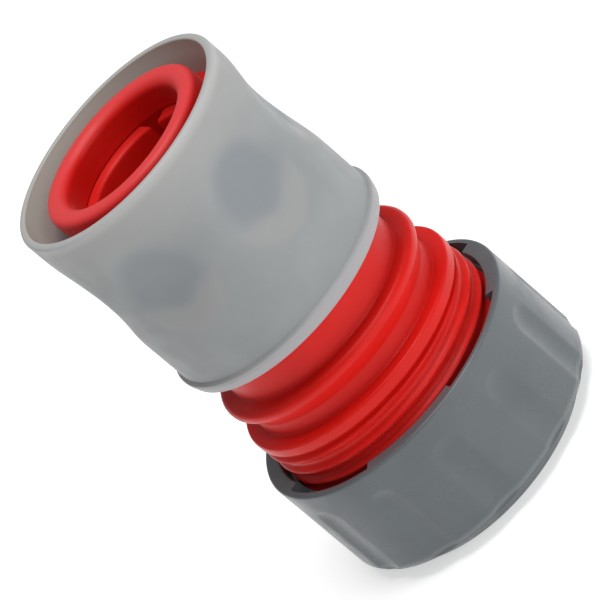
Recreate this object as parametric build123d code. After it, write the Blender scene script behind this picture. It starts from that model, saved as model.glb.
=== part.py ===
from build123d import *
import os
from math import asin, cos, hypot, radians, sin

# Garden hose quick connector for 19 mm hose, standing on its nut. Millimetres, +Z towards the mouth.

# Nipple and hose that it takes
nipple_collar_r = 8.6
nipple_clearance = 0.2
hose_r = 12.75
hose_bore_r = 9.5

# Heights along the axis
total_height = 60.6
sleeve_length = 27.2
sleeve_travel = 4.8
sleeve_stop_clearance = 0.2
ridge_length = 2.2
neck_length = 3.2
nut_height = 17.0

# Socket of the body
socket_wall = 1.8
mouth_ring_wall = 2.9
mouth_ring_length = 3.2
mouth_ring_recess = 0.45
mouth_ring_round = 0.9
mouth_lead_in = 0.85
mouth_bore_round = 1.4
seat_relief = 0.2
collar_seat_depth = 13.1
collar_seat_width = 1.2
seal_lead_in = 0.8
seal_bore_length = 11.5

# Locking claws
claw_count = 3
claw_turn = -4.0
claw_below_mouth = 4.5
claw_height = 4.5
claw_catch = 1.1
claw_gap = 1.02
claw_lead_in = 1.1
claw_lead_drop = 0.45
claw_catch_round = 0.45
claw_top_round = 0.3
claw_ear = 0.9
claw_clearance = 0.15
cam_slope = 0.3
cam_clearance = 0.12

# Return spring
wire_r = 0.45
spring_clearance = 0.2
spring_coils = 5.0
spring_seat_below_mouth = 12.6

# Release sleeve
sleeve_collar_wall = 0.8
sleeve_bore_clearance = 0.3
sleeve_collar_clearance = 0.4
sleeve_wall = 2.0
sleeve_lip_wall = 1.0
sleeve_lip_outer_share = 0.45
sleeve_lip_inner_share = 0.28
sleeve_bead = 0.45
sleeve_bead_length = 1.6
sleeve_bead_round = 0.3
dimple_count = 6
dimple_depth = 1.05
dimple_half_length = 6.5
dimple_below_mouth = 11.0
dimple_edge_round = 3.0
dimple_turn = -65.5

# Guide, ridge and neck of the body
guide_step = 0.1
guide_hidden_length = 3.2
guide_wall = 2.0
ridge_inset = 0.05
ridge_round = 0.9
neck_depth = 1.3
corner_round = 0.3

# Hose tail and threaded skirt
barb_count = 4
barb_pitch = 2.8
barb_height = 0.75
barb_crest_share = 0.85
hose_bore_stretch = 0.25
tail_wall = 2.0
tail_end_gap = 1.0
hose_room = 0.75
hose_stop_drop = 2.5
skirt_wall = 2.0
skirt_mouth_wall = 1.2
skirt_cone_share = 0.58
thread_height = 0.7
thread_engagement = 4.7
thread_shoulder_length = 1.5
thread_shoulder_round = 0.4

# Hose grip ring
collar_width = 1.5
collar_thickness = 1.3
collar_clearance = 0.15
finger_count = 12
finger_slot = 1.2
finger_length = 6.15
finger_tip_wall = 1.0
finger_clearance = 0.1
grip_tooth = 0.3
grip_tooth_pitch = 1.2

# Clamp nut
hose_hole_clearance = 0.55
nut_wall = 2.4
nut_floor = 2.0
nut_thread_clearance = 0.15
nut_stop_clearance = 0.1
nut_mouth_step = 0.35
nut_edge_wall = 0.75
nut_edge_round = 0.5
nut_pocket_depth = 2.0
nut_pocket_count = 4
nut_pocket_width = 46.0
nut_pocket_turn = 34.0
nut_foot_inset = 1.15
nut_foot_taper = 1.8
nut_foot_height = 1.95
nut_shoulder_drop = 0.55
nut_shoulder_height = 1.05
nut_shoulder_round = 1.2
snap_rib = 0.25
snap_rib_height = 0.6
snap_rib_room = 0.24
flute_count = 12
flute_depth = 0.45
flute_half_angle = 6.5
flute_top_margin = 2.9
flute_turn = -96.8

# Places that follow from the sizes above
sleeve_rear_z = total_height - sleeve_length
ridge_top_z = sleeve_rear_z - sleeve_travel - sleeve_stop_clearance
ridge_foot_z = ridge_top_z - ridge_length
neck_foot_z = ridge_foot_z - neck_length
thread_shoulder_foot_z = neck_foot_z - thread_shoulder_length
hose_stop_z = neck_foot_z - hose_stop_drop
shoulder_z = sleeve_rear_z + guide_hidden_length
ring_top_z = total_height - mouth_ring_recess
claw_top_z = total_height - claw_below_mouth
claw_foot_z = claw_top_z - claw_height
window_low_z = claw_foot_z - claw_clearance
window_high_z = claw_top_z + claw_clearance
collar_seat_z = total_height - collar_seat_depth
seal_foot_z = collar_seat_z - seal_bore_length

socket_bore_r = nipple_collar_r + nipple_clearance
socket_wall_r = socket_bore_r + socket_wall
mouth_ring_r = socket_bore_r + mouth_ring_wall
seal_bore_r = socket_bore_r - collar_seat_width
claw_tip_r = socket_bore_r - claw_catch
claw_half_angle = radians(180 / claw_count) - asin(claw_gap / 2 / claw_tip_r)
claw_width = 2 * claw_tip_r * sin(claw_half_angle)

sleeve_collar_r = socket_wall_r + sleeve_collar_clearance
sleeve_collar_outer_r = sleeve_collar_r + sleeve_collar_wall
spring_r = sleeve_collar_outer_r + spring_clearance + wire_r
spring_groove_r = spring_r + wire_r + spring_clearance
guide_r = spring_groove_r + guide_step
sleeve_guide_r = guide_r + sleeve_bore_clearance
sleeve_r = sleeve_guide_r + sleeve_wall
sleeve_bead_r = sleeve_r + sleeve_bead
sleeve_lip_r = sleeve_r - sleeve_lip_wall
ridge_r = sleeve_r - ridge_inset
neck_r = ridge_r - neck_depth
spring_top_z = total_height - spring_seat_below_mouth
sleeve_collar_foot_z = shoulder_z + sleeve_travel + 2 * sleeve_stop_clearance
sleeve_step_z = sleeve_collar_foot_z + sleeve_stop_clearance
cam_top_z = total_height - sleeve_lip_wall / 3
cam_foot_z = cam_top_z - (sleeve_lip_r - sleeve_collar_r) / cam_slope

barb_crest_r = hose_bore_r + hose_bore_stretch
tail_root_r = barb_crest_r - barb_height
waterway_r = tail_root_r - tail_wall
tail_end_z = nut_floor + tail_end_gap
skirt_inner_r = hose_r + hose_room
thread_root_r = skirt_inner_r + skirt_wall
thread_crest_r = thread_root_r + thread_height
skirt_mouth_r = thread_root_r - skirt_mouth_wall
nut_thread_top_z = nut_height - nut_pocket_depth
skirt_end_z = nut_thread_top_z - thread_engagement
skirt_cone_top_z = skirt_end_z + skirt_cone_share * (hose_stop_z - skirt_end_z)

hose_hole_r = hose_r + hose_hole_clearance
collar_r = skirt_inner_r + collar_width
collar_seat_r = collar_r + collar_clearance
collar_foot_z = nut_floor + collar_clearance
collar_top_z = collar_foot_z + collar_thickness
finger_tip_z = collar_top_z + finger_length
snap_rib_z = collar_top_z + collar_clearance
nut_thread_foot_z = snap_rib_z + snap_rib_height + snap_rib_room
nut_tighten_travel = skirt_end_z - nut_thread_foot_z - nut_stop_clearance
nut_bore_r = thread_crest_r + nut_thread_clearance
nut_mouth_r = nut_bore_r + nut_mouth_step
nut_r = nut_bore_r + nut_wall
nut_foot_r = nut_r - nut_foot_inset
nut_foot_end_r = nut_foot_r - nut_foot_taper


def turned(*outline):
    """Solid of revolution about Z from (radius, height) corners."""
    corners = [(r, 0, z) for r, z in outline]
    return revolve(make_face(Polyline(*corners, close=True)), axis=Axis.Z)


def tube(outer_r, inner_r, low_z, high_z):
    return turned((inner_r, low_z), (outer_r, low_z), (outer_r, high_z), (inner_r, high_z))


def round_rim(solid, radius, height, amount):
    """Round the circular edges of one radius at one height."""
    rims = [
        e for e in solid.edges().filter_by(GeomType.CIRCLE)
        if abs(e.radius - radius) < 0.01 and abs(e.arc_center.Z - height) < 0.01
    ]
    return fillet(rims, amount)


def around(count, start_angle):
    """Turns about Z for an evenly spaced pattern."""
    return [Rot(0, 0, start_angle + 360 / count * i) for i in range(count)]


def cam_r(z):
    """Radius of the sleeve's inner cone."""
    return sleeve_collar_r + cam_slope * (z - cam_foot_z)


def make_sleeve():
    """Outer shell with a rear bead, an inner collar on the socket, and the cone that holds the claws in."""
    bead_top_z = sleeve_rear_z + sleeve_bead_length
    shell = turned(
        (sleeve_guide_r, sleeve_rear_z),
        (sleeve_bead_r, sleeve_rear_z),
        (sleeve_bead_r, bead_top_z),
        (sleeve_r, bead_top_z + sleeve_bead),
        (sleeve_r, total_height),
        (sleeve_lip_r, total_height),
        (sleeve_lip_r, cam_top_z),
        (sleeve_collar_r, cam_foot_z),
        (sleeve_collar_r, sleeve_collar_foot_z),
        (sleeve_collar_outer_r, sleeve_collar_foot_z),
        (sleeve_collar_outer_r, spring_top_z),
        (spring_groove_r, spring_top_z),
        (spring_groove_r, sleeve_step_z),
        (sleeve_guide_r, sleeve_step_z - (sleeve_guide_r - spring_groove_r)),
    )
    shell = round_rim(shell, sleeve_r, total_height, sleeve_lip_wall * sleeve_lip_outer_share)
    shell = round_rim(shell, sleeve_lip_r, total_height, sleeve_lip_wall * sleeve_lip_inner_share)
    for z in (sleeve_rear_z, bead_top_z):
        shell = round_rim(shell, sleeve_bead_r, z, sleeve_bead_round)

    bow_r = (dimple_half_length ** 2 + dimple_depth ** 2) / (2 * dimple_depth)
    bow = Rot(90, 0, 0) * Cylinder(bow_r, 2 * sleeve_r)
    for turn in around(dimple_count, dimple_turn):
        shell -= turn * Pos(sleeve_r - dimple_depth + bow_r, 0, total_height - dimple_below_mouth) * bow
    rims = [
        e for e in shell.edges()
        if e.geom_type != GeomType.CIRCLE
        and abs(e.center().Z - (total_height - dimple_below_mouth)) < dimple_half_length
        and hypot(e.center().X, e.center().Y) > spring_groove_r
    ]
    return fillet(rims, dimple_edge_round)


def make_body():
    """Socket with claw windows, guide, ridge, neck, threaded skirt and barbed hose tail, in one moulding."""
    ring_foot_z = ring_top_z - mouth_ring_length
    outside = [
        (mouth_ring_r, ring_top_z),
        (mouth_ring_r, ring_foot_z),
        (socket_wall_r, ring_foot_z - (mouth_ring_r - socket_wall_r) / 2),
        (socket_wall_r, shoulder_z),
        (guide_r, shoulder_z),
        (guide_r, ridge_top_z),
        (ridge_r, ridge_top_z),
        (ridge_r, ridge_foot_z),
        (neck_r, ridge_foot_z),
        (neck_r, neck_foot_z),
        (thread_crest_r, neck_foot_z),
        (thread_crest_r, thread_shoulder_foot_z),
        (thread_root_r, thread_shoulder_foot_z - thread_height / 2),
        (thread_root_r, skirt_end_z),
    ]
    core_outer_r = guide_r - guide_wall
    web_foot_z = shoulder_z - guide_wall
    skirt_inside = [
        (skirt_mouth_r, skirt_end_z),
        (skirt_inner_r, skirt_cone_top_z),
        (skirt_inner_r, hose_stop_z),
        (core_outer_r, hose_stop_z),
        (core_outer_r, web_foot_z),
        (tail_root_r, web_foot_z),
    ]
    barbs = []
    for i in reversed(range(barb_count)):
        foot_z = tail_end_z + i * barb_pitch
        barbs += [(tail_root_r, foot_z + barb_pitch), (barb_crest_r, foot_z + barb_pitch * barb_crest_share)]
        barbs += [(tail_root_r, foot_z)] if i == 0 else []
    waterway = [
        (waterway_r, tail_end_z),
        (waterway_r, seal_foot_z - abs(seal_bore_r - waterway_r)),
        (seal_bore_r, seal_foot_z),
        (seal_bore_r, collar_seat_z - seal_lead_in),
        (seal_bore_r + seal_lead_in, collar_seat_z),
        (socket_bore_r + seat_relief, collar_seat_z),
        (socket_bore_r + seat_relief, window_high_z),
        (socket_bore_r, window_high_z),
        (socket_bore_r, ring_top_z - mouth_lead_in),
        (socket_bore_r + mouth_lead_in, ring_top_z),
    ]
    body = turned(*outside, *skirt_inside, *barbs, *waterway)
    body = round_rim(body, mouth_ring_r, ring_top_z, mouth_ring_round)
    body = round_rim(body, socket_bore_r + mouth_lead_in, ring_top_z, mouth_bore_round)
    for z in (ridge_top_z, ridge_foot_z):
        body = round_rim(body, ridge_r, z, ridge_round)
    body = round_rim(body, thread_crest_r, neck_foot_z, thread_shoulder_round)
    body = round_rim(body, guide_r, ridge_top_z, corner_round)
    body = round_rim(body, neck_r, ridge_foot_z, corner_round)

    window = Box(
        2 * socket_wall_r, claw_width + 2 * claw_clearance, window_high_z - window_low_z,
        align=(Align.MIN, Align.CENTER, Align.MIN),
    )
    for turn in around(claw_count, claw_turn):
        body -= turn * Pos(0, 0, window_low_z) * window
    return body


def make_claw(turn):
    """Wide jaw with a rounded catch, a sloped back for the sleeve's cone, and ears outside the wall."""
    back_foot_r = cam_r(claw_foot_z) - cam_clearance
    back_top_r = cam_r(claw_top_z) - cam_clearance
    jaw = turned(
        (claw_tip_r, claw_foot_z),
        (back_foot_r, claw_foot_z),
        (back_top_r, claw_top_z),
        (claw_tip_r + claw_lead_in, claw_top_z),
        (claw_tip_r, claw_top_z - claw_lead_drop),
    )
    jaw = round_rim(jaw, claw_tip_r, claw_top_z - claw_lead_drop, claw_catch_round)
    jaw = round_rim(jaw, claw_tip_r + claw_lead_in, claw_top_z, claw_top_round)
    ear_ring = turned(
        (socket_wall_r + claw_clearance, claw_foot_z),
        (back_foot_r, claw_foot_z),
        (back_top_r, claw_top_z),
        (socket_wall_r + claw_clearance, claw_top_z),
    )
    reach = 2 * back_top_r
    outward = (Align.MIN, Align.CENTER, Align.CENTER)
    block = Box(reach, claw_width, 2 * total_height, align=outward)
    ears = Box(reach, claw_width + 2 * claw_ear, 2 * total_height, align=outward)
    claw = (jaw & block) + (ear_ring & ears)
    return turn * claw


def make_spring():
    """Steel wire coiled between the body's shoulder and the sleeve's groove, with ends ground flat."""
    length = spring_top_z - shoulder_z
    pitch = (length + wire_r) / spring_coils
    path = Helix(pitch, length + wire_r, spring_r)
    start = Plane(origin=path @ 0, z_dir=path % 0)
    coil = sweep(start * RegularPolygon(wire_r, 8), path=path, is_frenet=True)
    ends = Cylinder(2 * spring_r, length, align=(Align.CENTER, Align.CENTER, Align.MIN))
    return Pos(0, 0, shoulder_z) * ((Pos(0, 0, -wire_r / 2) * coil) & ends)


def make_grip_ring():
    """Collar held in the nut, with slotted fingers whose teeth close on the hose."""
    slope = (skirt_mouth_r - skirt_inner_r) / (skirt_cone_top_z - skirt_end_z)
    tip_r = skirt_mouth_r - slope * (finger_tip_z + nut_tighten_travel - skirt_end_z) - finger_clearance
    root_r = tip_r + slope * (finger_tip_z - collar_top_z)
    inner_tip_r = tip_r - finger_tip_wall
    teeth_low_z = finger_tip_z - 2 * grip_tooth_pitch
    ring = turned(
        (skirt_inner_r, collar_foot_z),
        (collar_r, collar_foot_z),
        (collar_r, collar_top_z),
        (root_r, collar_top_z),
        (tip_r, finger_tip_z),
        (inner_tip_r, finger_tip_z),
        (inner_tip_r + grip_tooth, finger_tip_z - grip_tooth_pitch),
        (inner_tip_r, finger_tip_z - grip_tooth_pitch),
        (inner_tip_r + grip_tooth, teeth_low_z),
        (skirt_inner_r, collar_top_z),
    )
    slot = Box(
        2 * collar_r, finger_slot, finger_tip_z,
        align=(Align.MIN, Align.CENTER, Align.MIN),
    )
    for turn in around(finger_count, 0):
        ring -= turn * Pos(0, 0, collar_top_z) * slot
    return ring


def make_nut():
    """Cup with a thread bore, a snap rib over the grip ring, four mouth pockets and shallow flutes."""
    shoulder_top_z = nut_foot_height + nut_shoulder_height
    rib_r = collar_seat_r - snap_rib - collar_clearance
    nut = turned(
        (hose_hole_r, 0),
        (nut_foot_end_r, 0),
        (nut_foot_r, nut_foot_height),
        (nut_r - nut_shoulder_drop, nut_foot_height),
        (nut_r, shoulder_top_z),
        (nut_r, nut_height),
        (nut_mouth_r, nut_height),
        (nut_mouth_r, nut_thread_top_z),
        (nut_bore_r, nut_thread_top_z),
        (nut_bore_r, nut_thread_foot_z),
        (collar_seat_r, nut_thread_foot_z),
        (rib_r, snap_rib_z + snap_rib_height),
        (rib_r, snap_rib_z + snap_rib_height / 3),
        (collar_seat_r, snap_rib_z),
        (collar_seat_r, nut_floor),
        (hose_hole_r, nut_floor),
    )
    nut = round_rim(nut, nut_r, nut_height, nut_edge_round)
    nut = round_rim(nut, nut_r, shoulder_top_z, nut_shoulder_round)

    pocket = tube(nut_r - nut_edge_wall, thread_root_r, nut_thread_top_z, nut_height)
    half = radians(nut_pocket_width / 2)
    far = 2 * nut_r
    wedge = extrude(
        Polygon((0, 0), (far * cos(half), -far * sin(half)), (far * cos(half), far * sin(half)), align=None),
        nut_height,
    )
    for turn in around(nut_pocket_count, nut_pocket_turn):
        nut -= turn * (pocket & wedge)

    half_chord = nut_r * sin(radians(flute_half_angle))
    sagitta = flute_depth - nut_r * (1 - cos(radians(flute_half_angle)))
    flute_r = (half_chord ** 2 + sagitta ** 2) / (2 * sagitta)
    flute_top_z = nut_height - flute_top_margin - half_chord
    flute = Cylinder(flute_r, flute_top_z, align=(Align.CENTER, Align.CENTER, Align.MIN))
    flute += Pos(0, 0, flute_top_z) * Sphere(flute_r)
    for turn in around(flute_count, flute_turn):
        nut -= turn * Pos(nut_r - flute_depth + flute_r, 0, 0) * flute
    return nut


pieces = {
    "connector_body": make_body(),
    "release_sleeve": make_sleeve(),
    "sleeve_spring": make_spring(),
    "hose_grip_ring": make_grip_ring(),
    "clamp_nut": make_nut(),
}
for number, turn in enumerate(around(claw_count, claw_turn), start=1):
    pieces[f"locking_claw_{number}"] = make_claw(turn)

os.makedirs("parts", exist_ok=True)
for name, solid in pieces.items():
    export_step(solid, f"parts/{name}.step")
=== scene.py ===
import bmesh
import bpy
from math import atan2, cos, pi, radians, sin, tan
from mathutils import Matrix, Vector


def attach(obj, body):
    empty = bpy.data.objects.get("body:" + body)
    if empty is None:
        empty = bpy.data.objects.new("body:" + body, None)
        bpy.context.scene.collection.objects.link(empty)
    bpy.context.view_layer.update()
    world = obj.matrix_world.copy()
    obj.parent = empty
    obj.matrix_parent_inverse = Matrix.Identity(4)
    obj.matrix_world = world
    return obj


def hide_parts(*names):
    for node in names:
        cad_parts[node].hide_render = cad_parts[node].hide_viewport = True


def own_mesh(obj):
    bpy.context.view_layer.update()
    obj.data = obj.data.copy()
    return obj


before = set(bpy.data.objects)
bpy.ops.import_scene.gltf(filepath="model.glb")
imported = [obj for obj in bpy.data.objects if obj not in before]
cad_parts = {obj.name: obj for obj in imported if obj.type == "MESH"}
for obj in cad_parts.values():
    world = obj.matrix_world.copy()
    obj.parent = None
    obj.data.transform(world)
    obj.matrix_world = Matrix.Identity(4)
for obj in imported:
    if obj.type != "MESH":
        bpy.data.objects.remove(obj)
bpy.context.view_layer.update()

# Connector body: one red injection moulding that carries everything else. It is round, from the mouth ring
# past the claw windows, guide, ridge and neck to the threaded skirt, with the barbed hose tail inside it.
# Semi-gloss plastic, a little cloudy; the right-hand thread is coarse and rounded, as moulded ones are.
MM = 0.001
COLUMNS = 240
ROUND_STEPS = 5
CREASE = radians(32.0)


def soft_outline(corners, step):
    """Closed outline, in millimetres, through corners of radius, height and rounding.

    A corner's fourth number, where it has one, is the step on the run after it, in place of the usual one.
    """
    drawn = []
    for i, (r, z, rounding, *own_step) in enumerate(corners):
        here = Vector((r, z))
        run_step = own_step[0] if own_step else step
        if rounding == 0:
            drawn.append((here, run_step))
            continue
        back = (Vector(corners[i - 1][:2]) - here).normalized()
        on = (Vector(corners[(i + 1) % len(corners)][:2]) - here).normalized()
        half = back.angle(on) / 2
        centre = here + (back + on).normalized() * rounding / sin(half)
        first = here + back * rounding / tan(half) - centre
        last = here + on * rounding / tan(half) - centre
        start = atan2(first.y, first.x)
        turn = (atan2(last.y, last.x) - start + pi) % (2 * pi) - pi
        for k in range(ROUND_STEPS + 1):
            a = start + turn * k / ROUND_STEPS
            drawn.append((centre + rounding * Vector((cos(a), sin(a))), run_step))
    outline = []
    for (here, run_step), (on, _) in zip(drawn, drawn[1:] + drawn[:1]):
        pieces = max(1, round((on - here).length / run_step))
        outline += [here.lerp(on, k / pieces) for k in range(pieces)]
    return outline


def new_piece(name, mesh):
    """Object with this name from a bmesh, which is freed."""
    bmesh.ops.recalc_face_normals(mesh, faces=mesh.faces)
    data = bpy.data.meshes.new(name)
    mesh.to_mesh(data)
    mesh.free()
    piece = bpy.data.objects.new(name, data)
    bpy.context.scene.collection.objects.link(piece)
    return piece


def turned_piece(name, corners, step=1.5, columns=COLUMNS):
    """Ring-shaped piece: the outline swept once round Z."""
    outline = soft_outline(corners, step)
    mesh = bmesh.new()
    rings = [
        [mesh.verts.new((p.x * MM * cos(a), p.x * MM * sin(a), p.y * MM)) for p in outline]
        for a in (2 * pi * k / columns for k in range(columns))
    ]
    for ring, following in zip(rings, rings[1:] + rings[:1]):
        for i in range(len(outline)):
            j = (i + 1) % len(outline)
            mesh.faces.new((ring[i], following[i], following[j], ring[j]))
    return new_piece(name, mesh)


def block(low, high, turn):
    """Box between two corners in millimetres, turned about Z by degrees."""
    mesh = bmesh.new()
    bmesh.ops.create_cube(mesh, size=1.0)
    a = radians(turn)
    for v in mesh.verts:
        x, y, z = ((lo + hi) / 2 + (hi - lo) * c for lo, hi, c in zip(low, high, v.co))
        v.co = Vector((x * cos(a) - y * sin(a), x * sin(a) + y * cos(a), z)) * MM
    return new_piece("block", mesh)


def keep_result(piece):
    """Turn a piece's modifiers into its own plain mesh."""
    seen = piece.evaluated_get(bpy.context.evaluated_depsgraph_get())
    mesh = bpy.data.meshes.new_from_object(seen)
    piece.modifiers.clear()
    piece.data = mesh


def combine(piece, other, operation):
    """Cut, join or intersect a piece with another, which is then removed."""
    modifier = piece.modifiers.new("combine", "BOOLEAN")
    modifier.operation = operation
    modifier.solver = "EXACT"
    modifier.object = other
    keep_result(piece)
    bpy.data.objects.remove(other)


def finish_piece(piece, body, node):
    """Smooth shading with crisp edges, and the piece's place in the frame."""
    piece.data.shade_smooth()
    piece.data.set_sharp_from_angle(angle=CREASE)
    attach(piece, body)
    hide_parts(node)


class Value:
    """A node's output, with the arithmetic that the shapes and finishes are written in."""

    def __init__(self, nodes, socket):
        self.nodes = nodes
        self.socket = socket

    def out(self, index):
        """Another output of the same node."""
        return Value(self.nodes, self.socket.node.outputs[index])

    def math(self, operation, *others):
        sockets = dict(enumerate((self, *others)))
        return self.nodes.add("ShaderNodeMath", sockets, operation=operation)

    def __add__(self, other):
        return self.math("ADD", other)

    def __sub__(self, other):
        return self.math("SUBTRACT", other)

    def __mul__(self, other):
        return self.math("MULTIPLY", other)

    def __truediv__(self, other):
        return self.math("DIVIDE", other)

    def __rsub__(self, other):
        return self.nodes.add("ShaderNodeMath", {0: other, 1: self}, operation="SUBTRACT")

    def __rtruediv__(self, other):
        return self.nodes.add("ShaderNodeMath", {0: other, 1: self}, operation="DIVIDE")

    __radd__ = __add__
    __rmul__ = __mul__

    def between(self, low, high):
        """0 at low and below, 1 at high and above, with a soft ramp."""
        sockets = {"Value": self, "From Min": low, "From Max": high}
        return self.nodes.add("ShaderNodeMapRange", sockets, interpolation_type="SMOOTHSTEP")


class Nodes:
    """A node tree, to which nodes are added by type, settings and socket values."""

    def __init__(self, tree):
        self.tree = tree

    def add(self, kind, sockets=None, output=0, **settings):
        node = self.tree.nodes.new(kind)
        for name, value in settings.items():
            setattr(node, name, value)
        for key, value in (sockets or {}).items():
            if isinstance(value, Value):
                self.tree.links.new(value.socket, node.inputs[key])
            else:
                node.inputs[key].default_value = value
        return Value(self, node.outputs[output]) if node.outputs else None

    def blend(self, share, first, second):
        """Mix of two colours, all of the second where the share is 1."""
        colours = [c if isinstance(c, Value) else (*c, 1.0) for c in (first, second)]
        # A colour Mix has its colours at inputs 6 and 7 and its result at output 2
        sockets = {0: share, 6: colours[0], 7: colours[1]}
        return self.add("ShaderNodeMix", sockets, output=2, data_type="RGBA")

    def polar(self, place):
        """Radius, angle and height of a place."""
        x = self.add("ShaderNodeSeparateXYZ", {0: place})
        y, z = x.out(1), x.out(2)
        return (x * x + y * y).math("SQRT"), y.math("ARCTAN2", x), z


def shape_tree(name, sizes):
    """Geometry tree with these named inputs; returns its nodes and its inputs by name."""
    tree = bpy.data.node_groups.new(name, "GeometryNodeTree")
    kinds = dict.fromkeys(sizes, "NodeSocketFloat")
    kinds = {"Geometry": "NodeSocketGeometry", **kinds, "Material": "NodeSocketMaterial"}
    for size, kind in kinds.items():
        tree.interface.new_socket(size, in_out="INPUT", socket_type=kind)
    tree.interface.new_socket("Geometry", in_out="OUTPUT", socket_type="NodeSocketGeometry")
    nodes = Nodes(tree)
    entry = tree.nodes.new("NodeGroupInput")
    return nodes, {s.name: Value(nodes, s) for s in entry.outputs if s.name}


def end_tree(nodes, geometry, material):
    """Realize Instances, Set Material and the tree's output."""
    real = nodes.add("GeometryNodeRealizeInstances", {"Geometry": geometry})
    dressed = nodes.add("GeometryNodeSetMaterial", {"Geometry": real, "Material": material})
    nodes.add("NodeGroupOutput", {"Geometry": dressed})
    return nodes.tree


def shape_by(piece, tree, material, **sizes):
    """Run a geometry tree on a piece with these sizes and keep the result as its plain mesh."""
    modifier = piece.modifiers.new(tree.name, "NODES")
    modifier.node_group = tree
    given = {**sizes, "material": material}
    for socket in tree.interface.items_tree:
        key = socket.name.lower().replace(" ", "_")
        if socket.in_out == "INPUT" and key in given:
            modifier[socket.identifier] = given[key]
    keep_result(piece)


def set_radius(nodes, geometry, chosen, place, radius, wanted):
    """Move the chosen points straight in or out to the wanted radius."""
    share = wanted / radius
    scale = nodes.add("ShaderNodeCombineXYZ", {0: share, 1: share, 2: 1.0})
    moved = nodes.add("ShaderNodeVectorMath", {0: place, 1: scale}, operation="MULTIPLY")
    sockets = {"Geometry": geometry, "Selection": chosen, "Position": moved}
    return nodes.add("GeometryNodeSetPosition", sockets)


def thread_tree():
    """A right-hand thread on a turned wall: rounded ridges that grow from it and fade out at both ends."""
    wall_tolerance = 0.02 * MM
    crest_narrowing = 1.6
    sizes = ("Wall Radius", "Depth", "Pitch", "Crest Height", "Low Height", "High Height", "Run Out")
    nodes, size = shape_tree("thread", sizes)
    place = nodes.add("GeometryNodeInputPosition")
    radius, angle, z = nodes.polar(place)
    on_wall = (radius - size["Wall Radius"]).math("ABSOLUTE").math("LESS_THAN", wall_tolerance)
    turn = (z - size["Crest Height"]) / size["Pitch"] - angle / (2 * pi)
    wave = ((turn * (2 * pi)).math("COSINE") * 0.5 + 0.5).math("POWER", crest_narrowing)
    low_fade = (z - size["Low Height"]).between(0.0, size["Run Out"])
    high_fade = (size["High Height"] - z).between(0.0, size["Run Out"])
    wanted = radius + size["Depth"] * wave * low_fade * high_fade
    cut = set_radius(nodes, size["Geometry"], on_wall, place, radius, wanted)
    return end_tree(nodes, cut, size["Material"])


def surface(name, light, dark, fleck, gloss, grain, cloud_scale=110.0, tints=None, **constants):
    """A piece's finish: cloudy tone, fine flecks, an uneven gloss with drawn scuffs, and a fine grain.

    Its tints are further colours of painted light and shade, each with the share of it at a radius and a
    height.
    """
    material = bpy.data.materials.new(name)
    material.use_nodes = True
    nodes = Nodes(material.node_tree)
    shader = next(n for n in material.node_tree.nodes if n.type == "BSDF_PRINCIPLED")
    for key, value in constants.items():
        shader.inputs[key.replace("_", " ")].default_value = value
    where = nodes.add("ShaderNodeTexCoord", output="Object")

    def noise(scale, detail, stretch=(1.0, 1.0, 1.0)):
        spot = nodes.add("ShaderNodeVectorMath", {0: where, 1: stretch}, operation="MULTIPLY")
        return nodes.add("ShaderNodeTexNoise", {"Vector": spot, "Scale": scale, "Detail": detail})

    cloud = noise(scale=cloud_scale, detail=3.0).between(0.3, 0.7)
    flecks = noise(scale=2600.0, detail=2.0).between(0.66, 0.74)
    scuffs = noise(scale=900.0, detail=4.0, stretch=(1.0, 1.0, 0.12)).between(0.52, 0.75)
    smears = noise(scale=cloud_scale * 2.3, detail=5.0).between(0.35, 0.7)
    fine_grain = noise(scale=5200.0, detail=2.0)
    base = nodes.blend(cloud, dark, light)
    base = nodes.blend(flecks * 0.3, base, fleck)
    if tints:
        radius, _, z = nodes.polar(where)
        for share, colour in tints(radius, z):
            base = nodes.blend(share, base, colour)
    rough = gloss[0] + (gloss[1] - gloss[0]) * (smears * 0.75 + scuffs * 0.25)
    height = fine_grain * grain + scuffs * (grain * 0.15)
    bump = nodes.add("ShaderNodeBump", {"Height": height, "Distance": 0.02 * MM, "Strength": 0.5})
    for key, value in {"Base Color": base, "Roughness": rough, "Normal": bump}.items():
        material.node_tree.links.new(value.socket, shader.inputs[key])
    return material


RING_TOP = 60.15
RING_R = 11.7
SOCKET_R = 10.6
SOCKET_BORE_R = 8.8
SPRING_SEAT = 36.6
GUIDE_R = 13.2
RIDGE_R = 15.45
RIDGE_TOP = 28.4
NECK_R = 14.15
BAND_R = 16.2
BAND_TOP = 23.0
THREAD_R = 15.5
THREAD_TOP = 21.2
THREAD_PITCH = 2.0
SKIRT_FOOT = 10.3
SKIRT_BORE_R = 13.5
HOSE_STOP = 20.5
CORE_R = 11.2
CORE_TOP = 34.6
TAIL_R = 9.0
TAIL_FOOT = 3.0
BARB_R = 9.75
BARB_PITCH = 2.8
BARB_CREST = 2.38
WATERWAY_R = 7.0
SEAL_R = 7.6
CLAW_TURNS = (-4.0, 116.0, 236.0)
CLAW_FOOT = 51.6
CLAW_TOP = 56.1
CLAW_HALF_WIDTH = 6.4
CLAW_CLEARANCE = 0.15
NEAR_AXIS = 2.0


def red_rim_highlight(radius, z):
    """Painted highlight: a paler, pinker red on the rim of the mouth ring."""
    # painted highlight along the top of the rim
    rim = z.between(59.2 * MM, RING_TOP * MM)
    return [(rim, (0.77, 0.055, 0.058))]


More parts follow.
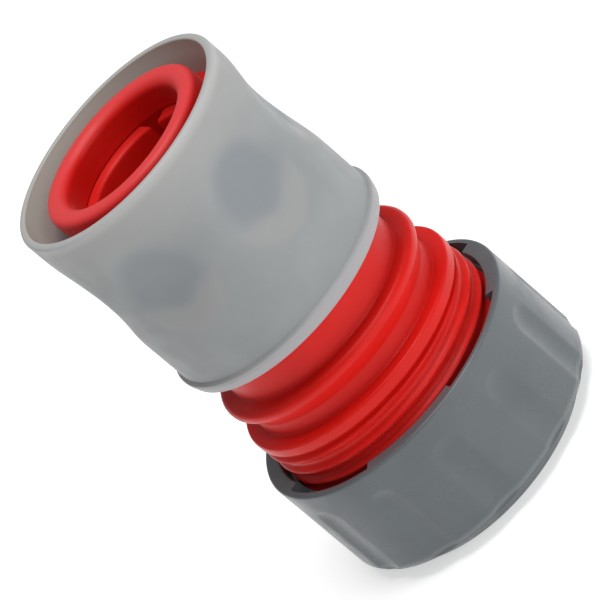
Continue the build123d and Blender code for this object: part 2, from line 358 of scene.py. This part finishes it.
red = surface(
    "red_plastic", light=(0.70, 0.011, 0.007), dark=(0.62, 0.008, 0.005), fleck=(0.50, 0.006, 0.004),
    gloss=(0.34, 0.48), grain=0.5, tints=red_rim_highlight, Specular_IOR_Level=0.2, Sheen_Weight=0.25,
    Sheen_Roughness=0.35, Sheen_Tint=(1.0, 0.25, 0.25, 1.0),
)
barbs = [
    corner
    for foot in (TAIL_FOOT + BARB_PITCH * k for k in (3, 2, 1, 0))
    for corner in ((TAIL_R, foot + BARB_PITCH, 0.15), (BARB_R, foot + BARB_CREST, 0.12))
]
body = turned_piece("body_moulding", [
    # Mouth ring, and the socket's wall down to the shoulder that the spring stands on
    (9.65, RING_TOP, 1.4), (RING_R, RING_TOP, 0.9), (RING_R, 56.95, 0.3), (SOCKET_R, 56.4, 0.2),
    (SOCKET_R, SPRING_SEAT, 0.3),
    # Guide, ridge and neck
    (GUIDE_R, SPRING_SEAT, 0.3), (GUIDE_R, RIDGE_TOP, 0.3), (RIDGE_R, RIDGE_TOP, 0.9),
    (RIDGE_R, 27.1, 0.9), (NECK_R, 25.2, 1.0), (NECK_R, BAND_TOP, 0.25),
    # Band at the start of the thread, and the wall that carries the thread
    (BAND_R, BAND_TOP, 0.4), (BAND_R, 21.5, 0.3), (THREAD_R, THREAD_TOP, 0.1, 0.125),
    (THREAD_R, SKIRT_FOOT, 0.2),
    # Skirt's cone and bore, the shoulder that stops the hose, and the core taken out above it
    (14.3, SKIRT_FOOT, 0.2), (SKIRT_BORE_R, 16.2, 0), (SKIRT_BORE_R, HOSE_STOP, 0.4),
    (CORE_R, HOSE_STOP, 0.4), (CORE_R, CORE_TOP, 0.3), (TAIL_R, CORE_TOP, 0.3),
    # Barbed tail with the waterway in it
    *barbs, (TAIL_R, TAIL_FOOT, 0.2), (WATERWAY_R, TAIL_FOOT, 0.3), (WATERWAY_R, 35.4, 0),
    # Seal bore, the seat of the nipple's collar, and the bore of the socket
    (SEAL_R, 36.0, 0), (SEAL_R, 46.7, 0), (8.4, 47.5, 0.2), (9.0, 47.5, 0.1), (9.0, 56.25, 0),
    (SOCKET_BORE_R, 56.25, 0), (SOCKET_BORE_R, 59.3, 1.0),
])
window_half = CLAW_HALF_WIDTH + CLAW_CLEARANCE
window_low = (NEAR_AXIS, -window_half, CLAW_FOOT - CLAW_CLEARANCE)
window_high = (SOCKET_R + 1.0, window_half, CLAW_TOP + CLAW_CLEARANCE)
for turn in CLAW_TURNS:
    combine(body, block(window_low, window_high, turn), "DIFFERENCE")
thread = thread_tree()
shape_by(
    body, thread, red, wall_radius=THREAD_R * MM, depth=0.69 * MM, pitch=THREAD_PITCH * MM,
    crest_height=21.15 * MM, low_height=SKIRT_FOOT * MM, high_height=THREAD_TOP * MM, run_out=0.5 * MM,
)
finish_piece(body, "body", "connector_body")

# Return spring: steel wire of 0.9 mm, coiled, with its ends ground flat. It stands on the body's shoulder in
# the sleeve's groove and shortens as the sleeve is drawn back. Drawn wire keeps a little oil staining.
COIL_R = 12.45
WIRE_R = 0.45
COILS = 5.0
SPRING_TOP = 48.0

steel = surface(
    "spring_steel", light=(0.62, 0.61, 0.58), dark=(0.50, 0.49, 0.46), fleck=(0.30, 0.25, 0.20),
    gloss=(0.22, 0.42), grain=0.3, Metallic=1.0,
)
sizes = ("Coil Radius", "Wire Radius", "Low Height", "High Height", "Coils")
nodes, size = shape_tree("coiled_wire", sizes)
path = nodes.add("GeometryNodeCurveSpiral", {
    "Resolution": 64, "Rotations": size["Coils"],
    "Start Radius": size["Coil Radius"], "End Radius": size["Coil Radius"],
    "Height": size["High Height"] - size["Low Height"] + size["Wire Radius"],
})
section = nodes.add("GeometryNodeCurvePrimitiveCircle", {"Resolution": 16, "Radius": size["Wire Radius"]})
wire = nodes.add("GeometryNodeCurveToMesh", {"Curve": path, "Profile Curve": section, "Fill Caps": True})
x = nodes.add("ShaderNodeSeparateXYZ", {0: nodes.add("GeometryNodeInputPosition")})
level = x.out(2) + size["Low Height"] - size["Wire Radius"] * 0.5
ground = level.math("MAXIMUM", size["Low Height"]).math("MINIMUM", size["High Height"])
target = nodes.add("ShaderNodeCombineXYZ", {0: x, 1: x.out(1), 2: ground})
coil = nodes.add("GeometryNodeSetPosition", {"Geometry": wire, "Position": target})
coiled_wire = end_tree(nodes, coil, size["Material"])

spring = new_piece("return_spring", bmesh.new())
shape_by(
    spring, coiled_wire, steel, coil_radius=COIL_R * MM, wire_radius=WIRE_R * MM,
    low_height=SPRING_SEAT * MM, high_height=SPRING_TOP * MM, coils=COILS,
)
finish_piece(spring, "body", "sleeve_spring")
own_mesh(spring)

# Locking claws: three wide red jaws moulded apart from the body. Each slides out through its window when
# the sleeve is drawn back. A rounded catch faces the bore, and a sloped back with ears lies on the cone.
CLAW_TIP_R = 7.7
CLAW_EAR = 0.9
CAM_SLOPE = 0.3

cam_foot_r = 13.38 - CAM_SLOPE * (CLAW_TOP - CLAW_FOOT)
claw_back = [(13.38, CLAW_TOP, 0.15), (cam_foot_r, CLAW_FOOT, 0.15)]
jaw = [(CLAW_TIP_R, CLAW_FOOT, 0.1), (CLAW_TIP_R, 55.65, 0.45), (SOCKET_BORE_R, CLAW_TOP, 0.3), *claw_back]
ear_r = SOCKET_R + CLAW_CLEARANCE
ears = [(ear_r, CLAW_FOOT, 0.1), (ear_r, CLAW_TOP, 0.1), *claw_back]


def claw_part(name, outline, half_width, turn):
    """What a turned outline has within a half width of the middle of the claw at this turn."""
    part = turned_piece(name, outline, step=0.6)
    combine(part, block((NEAR_AXIS, -half_width, 50.0), (15.0, half_width, 58.0), turn), "INTERSECT")
    return part


def dress(piece, material):
    """Give a piece one material."""
    piece.data.materials.clear()
    piece.data.materials.append(material)


for number, turn in enumerate(CLAW_TURNS, start=1):
    claw = claw_part(f"claw_{number}", jaw, CLAW_HALF_WIDTH, turn)
    combine(claw, claw_part("ears", ears, CLAW_HALF_WIDTH + CLAW_EAR, turn), "UNION")
    dress(claw, red)
    finish_piece(claw, f"claw_{number}", f"locking_claw_{number}")

# Release sleeve: light grey moulding that slides on the guide. Six finger hollows lie round its waist, and
# a short flange closes its rear. Inside are the collar on the socket and the cone that holds the claws in.
SLEEVE_R = 15.5
SLEEVE_FOOT = 33.4
SLEEVE_TOP = 60.6
LIP_R = 14.5
FLANGE_R = 15.95
FLANGE_TOP = 35.3
HOLLOW_Z = 49.6
HOLLOW_DEPTH = 1.05


def sleeve_painted_light(radius, z):
    """Painted light and shade: paler to the lip, painted highlights at the lip, on the flange and at the
    hollows' feet, painted shade in the hollows, and painted light inside the mouth.
    """
    outside = radius.math("GREATER_THAN", 14.2 * MM)
    beside = (z - HOLLOW_Z * MM).math("ABSOLUTE")
    # painted light: the sleeve grows paler from the waist up to the lip
    painted_light_upper_half = z.between(50.0 * MM, 61.0 * MM)
    # painted highlight along the outside of the lip
    lip = z.between(59.0 * MM, 60.5 * MM) * outside
    # painted highlight, faintly pink, on the flange's band
    flange = (FLANGE_TOP * MM - z).between(0.0, 0.4 * MM) * radius.math("GREATER_THAN", 15.2 * MM)
    # painted shade, darker and bluer, in the hollows
    hollow = (15.45 * MM - radius).between(0.0, 0.6 * MM) * outside * beside.math("LESS_THAN", 7.2 * MM)
    # painted highlight: a lit crescent on each hollow's rim, below its middle
    crescent_highlight_rim = radius.between(14.6 * MM, 15.0 * MM) * (15.49 * MM - radius).between(0.0, 0.12 * MM)
    crescent_highlight_below = ((HOLLOW_Z - 1.0) * MM - z).between(0.0, 3.0 * MM) * beside.math("LESS_THAN", 9.5 * MM)
    # painted light, a little warm, on the inside of the sleeve's mouth
    mouth = (14.8 * MM - radius).between(0.0, 0.2 * MM) * z.between(54.0 * MM, 60.0 * MM)
    return [
        (painted_light_upper_half, (0.345, 0.343, 0.34)),
        (lip, (0.45, 0.445, 0.443)),
        (flange, (0.36, 0.352, 0.362)),
        (hollow, (0.232, 0.252, 0.268)),
        (crescent_highlight_rim * crescent_highlight_below, (0.303, 0.305, 0.308)),
        (mouth, (0.45, 0.45, 0.405)),
    ]


light_grey = surface(
    "light_grey_plastic", light=(0.290, 0.304, 0.309), dark=(0.262, 0.275, 0.281),
    fleck=(0.23, 0.238, 0.242), gloss=(0.42, 0.56), grain=0.9, cloud_scale=160.0, tints=sleeve_painted_light,
    Specular_IOR_Level=0.35,
)
sizes = (
    "Wall Radius", "Least Radius", "Count", "Turn", "Depth", "Across Radius", "Along Radius", "Low Height",
    "High Height", "Softness",
)
nodes, size = shape_tree("pressed_hollows", sizes)
place = nodes.add("GeometryNodeInputPosition")
radius, angle, z = nodes.polar(place)
half_step = pi / size["Count"]
aside = (angle - size["Turn"]).math("WRAP", half_step, 0.0 - half_step) * size["Wall Radius"]
past = (z - size["High Height"]).math("MAXIMUM", 0.0) + (size["Low Height"] - z).math("MAXIMUM", 0.0)
bowl = aside * aside / (size["Across Radius"] * 2.0) + past * past / (size["Along Radius"] * 2.0)
floor_r = size["Wall Radius"] - size["Depth"] + bowl
wanted = radius.math("SMOOTH_MIN", floor_r, size["Softness"])
outside = radius.math("GREATER_THAN", size["Least Radius"])
pressed = set_radius(nodes, size["Geometry"], outside, place, radius, wanted)
pressed_hollows = end_tree(nodes, pressed, size["Material"])

sleeve = turned_piece("sleeve_moulding", [
    # Flange, the outside wall and the lip
    (13.5, SLEEVE_FOOT, 0.2), (15.62, SLEEVE_FOOT, 0.15), (FLANGE_R, 34.5, 0.4), (FLANGE_R, 34.95, 0.15),
    (SLEEVE_R, FLANGE_TOP, 0.2, 0.25), (SLEEVE_R, SLEEVE_TOP, 0.45), (LIP_R, SLEEVE_TOP, 0.25),
    (LIP_R, 60.27, 0),
    # Cone, collar on the socket, and the groove that holds the spring
    (11.0, 48.6, 0.2), (11.0, 41.8, 0.2), (11.8, 41.8, 0.2), (11.8, SPRING_TOP, 0.2),
    (13.1, SPRING_TOP, 0.2), (13.1, 42.0, 0), (13.5, 41.6, 0),
])
shape_by(
    sleeve, pressed_hollows, light_grey, wall_radius=SLEEVE_R * MM, least_radius=15.2 * MM, count=6.0,
    turn=radians(-65.5), depth=HOLLOW_DEPTH * MM, across_radius=15.36 * MM, along_radius=20.1 * MM,
    low_height=HOLLOW_Z * MM, high_height=HOLLOW_Z * MM, softness=1.0 * MM,
)
finish_piece(sleeve, "sleeve", "release_sleeve")

# Hose grip ring: a dark moulded ring, held in the nut's seat by a snap rib. Slots part it into twelve
# fingers with small teeth, which close on the hose as the nut draws them into the skirt's cone.
COLLAR_FOOT = 2.15
COLLAR_TOP = 3.45
FINGER_TOP = 9.6
TOOTH_R = 12.51
TOOTH_ROOT_R = 12.81
TOOTH_PITCH = 1.2
SLOT_PAIRS = 6
HALF_SLOT = 0.6

ring_black = surface(
    "grip_ring_plastic", light=(0.105, 0.112, 0.118), dark=(0.085, 0.090, 0.095),
    fleck=(0.16, 0.165, 0.17), gloss=(0.34, 0.5), grain=0.6,
)
first_tooth = FINGER_TOP - TOOTH_PITCH
ring = turned_piece("grip_ring_moulding", [
    # Collar, and the fingers' backs
    (SKIRT_BORE_R, COLLAR_FOOT, 0.15), (15.0, COLLAR_FOOT, 0.2), (15.0, COLLAR_TOP, 0.2),
    (14.35, COLLAR_TOP, 0.12), (13.51, FINGER_TOP, 0.2),
    # Two teeth, and the fingers' fronts
    (TOOTH_R, FINGER_TOP, 0.1), (TOOTH_ROOT_R, first_tooth, 0), (TOOTH_R, first_tooth, 0),
    (TOOTH_ROOT_R, first_tooth - TOOTH_PITCH, 0), (SKIRT_BORE_R, COLLAR_TOP, 0),
], step=0.8)
for number in range(SLOT_PAIRS):
    slots = block((-17.0, -HALF_SLOT, COLLAR_TOP), (17.0, HALF_SLOT, 12.0), 180.0 / SLOT_PAIRS * number)
    combine(ring, slots, "DIFFERENCE")
dress(ring, ring_black)
finish_piece(ring, "grip_ring", "hose_grip_ring")

# Clamp nut: dark grey moulding that screws on to the skirt. Its mouth has four shallow pockets, and its
# wall has twelve shallow flutes for the hand. The smaller, tapered foot is what the connector stands on.
NUT_R = 18.75
NUT_TOP = 17.0
NUT_BORE_R = 16.35
NUT_MOUTH_R = 16.7
WALL_FOOT = 2.6
HOSE_HOLE_R = 13.3
GRIP_SEAT_R = 15.15
SNAP_RIB_R = 14.75
SNAP_RIB_TOP = 4.44
NUT_FLOOR = 2.0
POCKET_FLOOR = 15.0
POCKET_R = 18.0
POCKET_COUNT = 4
POCKET_TURN = 34.0
POCKET_HALF = radians(23.0)
POCKET_STEPS = 24


def nut_painted_light(radius, z):
    """A painted highlight as a paler edge at the bottom of the wall, and painted shade as a darker foot
    below it.
    """
    outside = radius.math("GREATER_THAN", 15.5 * MM)
    # painted shade on the foot below the wall
    foot = ((WALL_FOOT - 0.1) * MM - z).between(0.0, 0.2 * MM)
    # painted highlight along the bottom edge of the wall
    highlight_edge_low = z.between((WALL_FOOT - 0.3) * MM, WALL_FOOT * MM)
    highlight_edge_high = ((WALL_FOOT + 0.5) * MM - z).between(0.0, 0.3 * MM)
    return [
        (foot * outside, (0.092, 0.105, 0.113)),
        (highlight_edge_low * highlight_edge_high * outside, (0.158, 0.175, 0.185)),
    ]


dark_grey = surface(
    "dark_grey_plastic", light=(0.118, 0.135, 0.144), dark=(0.106, 0.121, 0.130),
    fleck=(0.145, 0.155, 0.16), gloss=(0.26, 0.42), grain=0.7, cloud_scale=140.0, tints=nut_painted_light,
    Specular_IOR_Level=0.4,
)
nut = turned_piece("nut_moulding", [
    # Standing face, the foot and the wall
    (HOSE_HOLE_R, 0, 0.2), (15.8, 0, 0.4), (17.6, 1.95, 0.2), (18.4, 2.0, 0.15),
    (NUT_R, WALL_FOOT, 0.3, 0.25), (NUT_R, NUT_TOP, 0.4),
    # Mouth, and the bore that carries the thread
    (NUT_MOUTH_R, NUT_TOP, 0.25), (NUT_MOUTH_R, POCKET_FLOOR, 0.1),
    (NUT_BORE_R, POCKET_FLOOR, 0.1, 0.125), (NUT_BORE_R, SNAP_RIB_TOP, 0),
    # Snap rib over the grip ring, the ring's seat and the hole for the hose
    (GRIP_SEAT_R, SNAP_RIB_TOP, 0), (SNAP_RIB_R, 4.2, 0), (SNAP_RIB_R, 3.8, 0), (GRIP_SEAT_R, 3.6, 0),
    (GRIP_SEAT_R, NUT_FLOOR, 0.1), (HOSE_HOLE_R, NUT_FLOOR, 0.2),
], columns=360)


def pocket_cutter(middle):
    """Curved bar that cuts one pocket. Its floor is just above the mouth's step, not level with it."""
    low, high = POCKET_FLOOR + 0.01, NUT_TOP + 1.0
    corners = ((NUT_BORE_R - 0.45, low), (POCKET_R, low), (POCKET_R, high), (NUT_BORE_R - 0.45, high))
    mesh = bmesh.new()
    rows = []
    for k in range(POCKET_STEPS + 1):
        a = middle - POCKET_HALF + 2 * POCKET_HALF * k / POCKET_STEPS
        rows.append([mesh.verts.new((r * MM * cos(a), r * MM * sin(a), z * MM)) for r, z in corners])
    for row, following in zip(rows, rows[1:]):
        for i in range(4):
            j = (i + 1) % 4
            mesh.faces.new((row[i], row[j], following[j], following[i]))
    mesh.faces.new(rows[0])
    mesh.faces.new(rows[-1])
    return new_piece("pocket", mesh)


for number in range(POCKET_COUNT):
    middle = radians(POCKET_TURN + 360.0 / POCKET_COUNT * number)
    combine(nut, pocket_cutter(middle), "DIFFERENCE")
shape_by(
    nut, thread, dark_grey, wall_radius=NUT_BORE_R * MM, depth=-0.6 * MM, pitch=THREAD_PITCH * MM,
    crest_height=22.15 * MM, low_height=4.6 * MM, high_height=POCKET_FLOOR * MM, run_out=0.9 * MM,
)
shape_by(
    nut, pressed_hollows, dark_grey, wall_radius=NUT_R * MM, least_radius=18.05 * MM, count=12.0,
    turn=radians(-96.8), depth=0.45 * MM, across_radius=5.0 * MM, along_radius=5.0 * MM,
    low_height=-10.0 * MM, high_height=12.0 * MM, softness=0.06 * MM,
)
finish_piece(nut, "nut", "clamp_nut")

# Floor, light and camera: the connector stands on pale paper in a soft white room. The camera looks down
# from 24 degrees and is rolled, so that the part lies in the picture as in the photo, mouth at upper left.
AIM = Vector((-0.000115, 0, 0.03025))
ELEVATION = radians(24.1)
ROLL = radians(49.56)
DISTANCE = 0.55
LENS = 285.6
WHITE = (1.0, 1.0, 1.0, 1.0)

bpy.ops.mesh.primitive_plane_add(size=6.0, location=(0, 0, -0.02 * MM))
floor = bpy.context.object
floor.name = "floor"
paper = surface(
    "paper", light=(0.93, 0.93, 0.93), dark=(0.90, 0.90, 0.90), fleck=(0.88, 0.88, 0.88),
    gloss=(0.8, 0.9), grain=0.2, cloud_scale=6.0, Emission_Color=WHITE, Emission_Strength=0.5,
)
dress(floor, paper)

scene = bpy.context.scene
scene.view_settings.view_transform = "Standard"
scene.world = bpy.data.worlds.new("studio")
scene.world.use_nodes = True
room = next(n for n in scene.world.node_tree.nodes if n.type == "BACKGROUND")
room.inputs["Color"].default_value = WHITE
room.inputs["Strength"].default_value = 0.22

level_up = Vector((0, sin(ELEVATION), cos(ELEVATION)))
level_right = Vector((1, 0, 0))
back = Vector((0, -cos(ELEVATION), sin(ELEVATION)))
image_up = level_up * cos(ROLL) + level_right * sin(ROLL)
image_right = level_right * cos(ROLL) - level_up * sin(ROLL)
camera = bpy.data.objects.new("camera", bpy.data.cameras.new("camera"))
scene.collection.objects.link(camera)
camera.data.lens = LENS
camera.data.clip_start = 0.01
camera.data.clip_end = 10.0
camera.location = AIM + back * DISTANCE
camera.rotation_mode = "QUATERNION"
camera.rotation_quaternion = Matrix((image_right, image_up, back)).transposed().to_quaternion()
scene.camera = camera


def softbox(name, place, size, power):
    """Large white area light aimed at the connector, in metres and watts."""
    light = bpy.data.objects.new(name, bpy.data.lights.new(name, "AREA"))
    scene.collection.objects.link(light)
    light.data.shape = "SQUARE"
    light.data.size = size
    light.data.energy = power
    light.location = place
    light.rotation_mode = "QUATERNION"
    light.rotation_quaternion = (AIM - light.location).to_track_quat("-Z", "Y")


softbox("overhead", Vector((0.22, -0.1, 1.0)), size=0.7, power=7.6)
softbox("front", AIM + Vector((0.4, -0.8, 0.27)), size=0.7, power=2.6)
